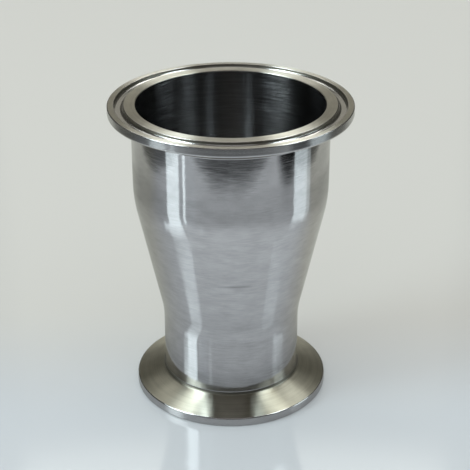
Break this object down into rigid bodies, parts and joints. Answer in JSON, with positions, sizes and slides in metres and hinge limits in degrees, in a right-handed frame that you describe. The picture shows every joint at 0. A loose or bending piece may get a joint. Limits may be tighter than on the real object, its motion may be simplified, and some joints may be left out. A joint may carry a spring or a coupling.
{
  "type": "sanitary clamp reducer",
  "caption": "Concentric stainless steel pipe reducer with a grooved clamp ferrule at each end, joining a larger sanitary tube line to a smaller one.",
  "frame": {"origin": "centre of the sealing face of the small end, which is the face that the fitting stands on", "axes": "+Z runs along the flow axis from the small end up to the large end; X and Y are alike, because the fitting is a body of revolution about Z"},
  "size_m": [0.0776, 0.0774, 0.1],
  "materials": {
    "stainless_steel": "body brushed round its axis, ferrules fine turned, bore mirror polished"
  },
  "bodies": {
    "root": {"clamp_reducer": "stainless_steel"}
  },
  "joints": []
}
